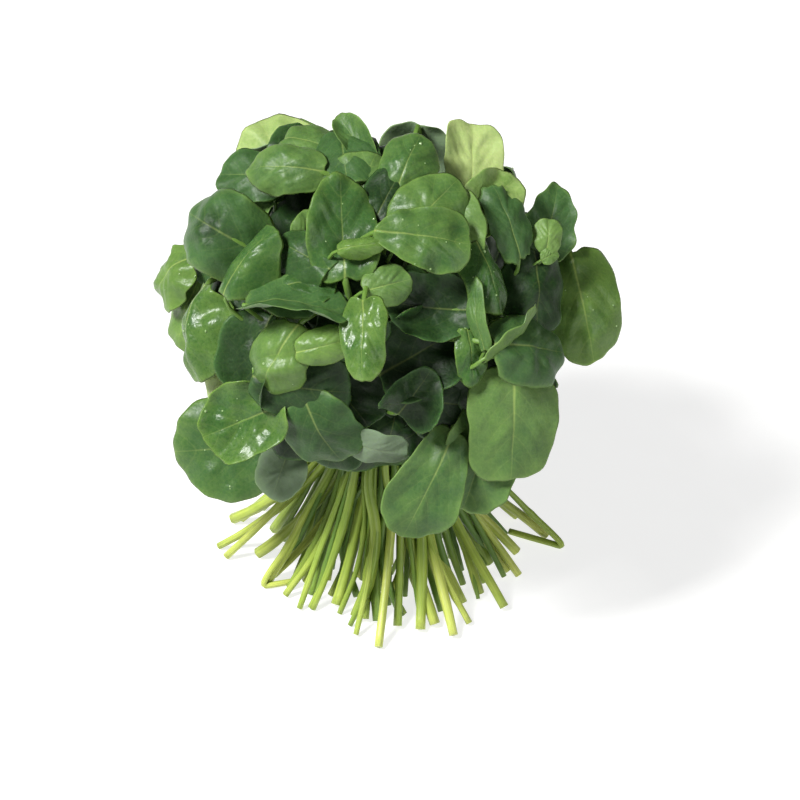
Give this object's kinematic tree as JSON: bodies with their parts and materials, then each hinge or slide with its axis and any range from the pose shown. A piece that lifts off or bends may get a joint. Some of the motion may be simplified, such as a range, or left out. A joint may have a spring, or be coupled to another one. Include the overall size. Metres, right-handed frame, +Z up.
{
  "type": "watercress bunch",
  "caption": "Bunch of fresh watercress, standing on its splayed cut stems: a round crown of broad glossy leaves over a skirt of pale stems, held by a band at the waist.",
  "frame": {"origin": "on the surface that the bunch stands on, below the middle of its box", "axes": "+Z up, from the cut ends to the crown; -Y is the front, the side with the most large leaves; +X to the right as seen from the front"},
  "size_m": [0.1752, 0.1576, 0.1894],
  "materials": {
    "stem": "satin",
    "leaf": "glossy",
    "band": "matte"
  },
  "bodies": {
    "root": {"stem_01": "stem", "stem_02": "stem", "stem_03": "stem", "stem_04": "stem", "stem_05": "stem", "stem_06": "stem", "stem_07": "stem", "stem_08": "stem", "stem_09": "stem", "stem_10": "stem", "stem_11": "stem", "stem_12": "stem", "stem_13": "stem", "stem_14": "stem", "stem_15": "stem", "stem_16": "stem", "stem_17": "stem", "stem_18": "stem", "stem_19": "stem", "stem_20": "stem", "stem_21": "stem", "stem_22": "stem", "stem_23": "stem", "stem_24": "stem", "stem_25": "stem", "stem_26": "stem", "stem_27": "stem", "stem_28": "stem", "stem_29": "stem", "leaf_01": "leaf", "leaf_02": "leaf", "leaf_03": "leaf", "leaf_04": "leaf", "leaf_05": "leaf", "leaf_06": "leaf", "leaf_07": "leaf", "leaf_08": "leaf", "leaf_09": "leaf", "leaf_10": "leaf", "leaf_11": "leaf", "leaf_12": "leaf", "leaf_13": "leaf", "leaf_14": "leaf", "leaf_15": "leaf", "leaf_16": "leaf", "leaf_17": "leaf", "leaf_18": "leaf", "leaf_19": "leaf", "leaf_20": "leaf", "leaf_21": "leaf", "leaf_22": "leaf", "leaf_23": "leaf", "leaf_24": "leaf", "leaf_25": "leaf", "leaf_26": "leaf", "leaf_27": "leaf", "leaf_28": "leaf", "leaf_29": "leaf", "band": "band"}
  },
  "joints": []
}
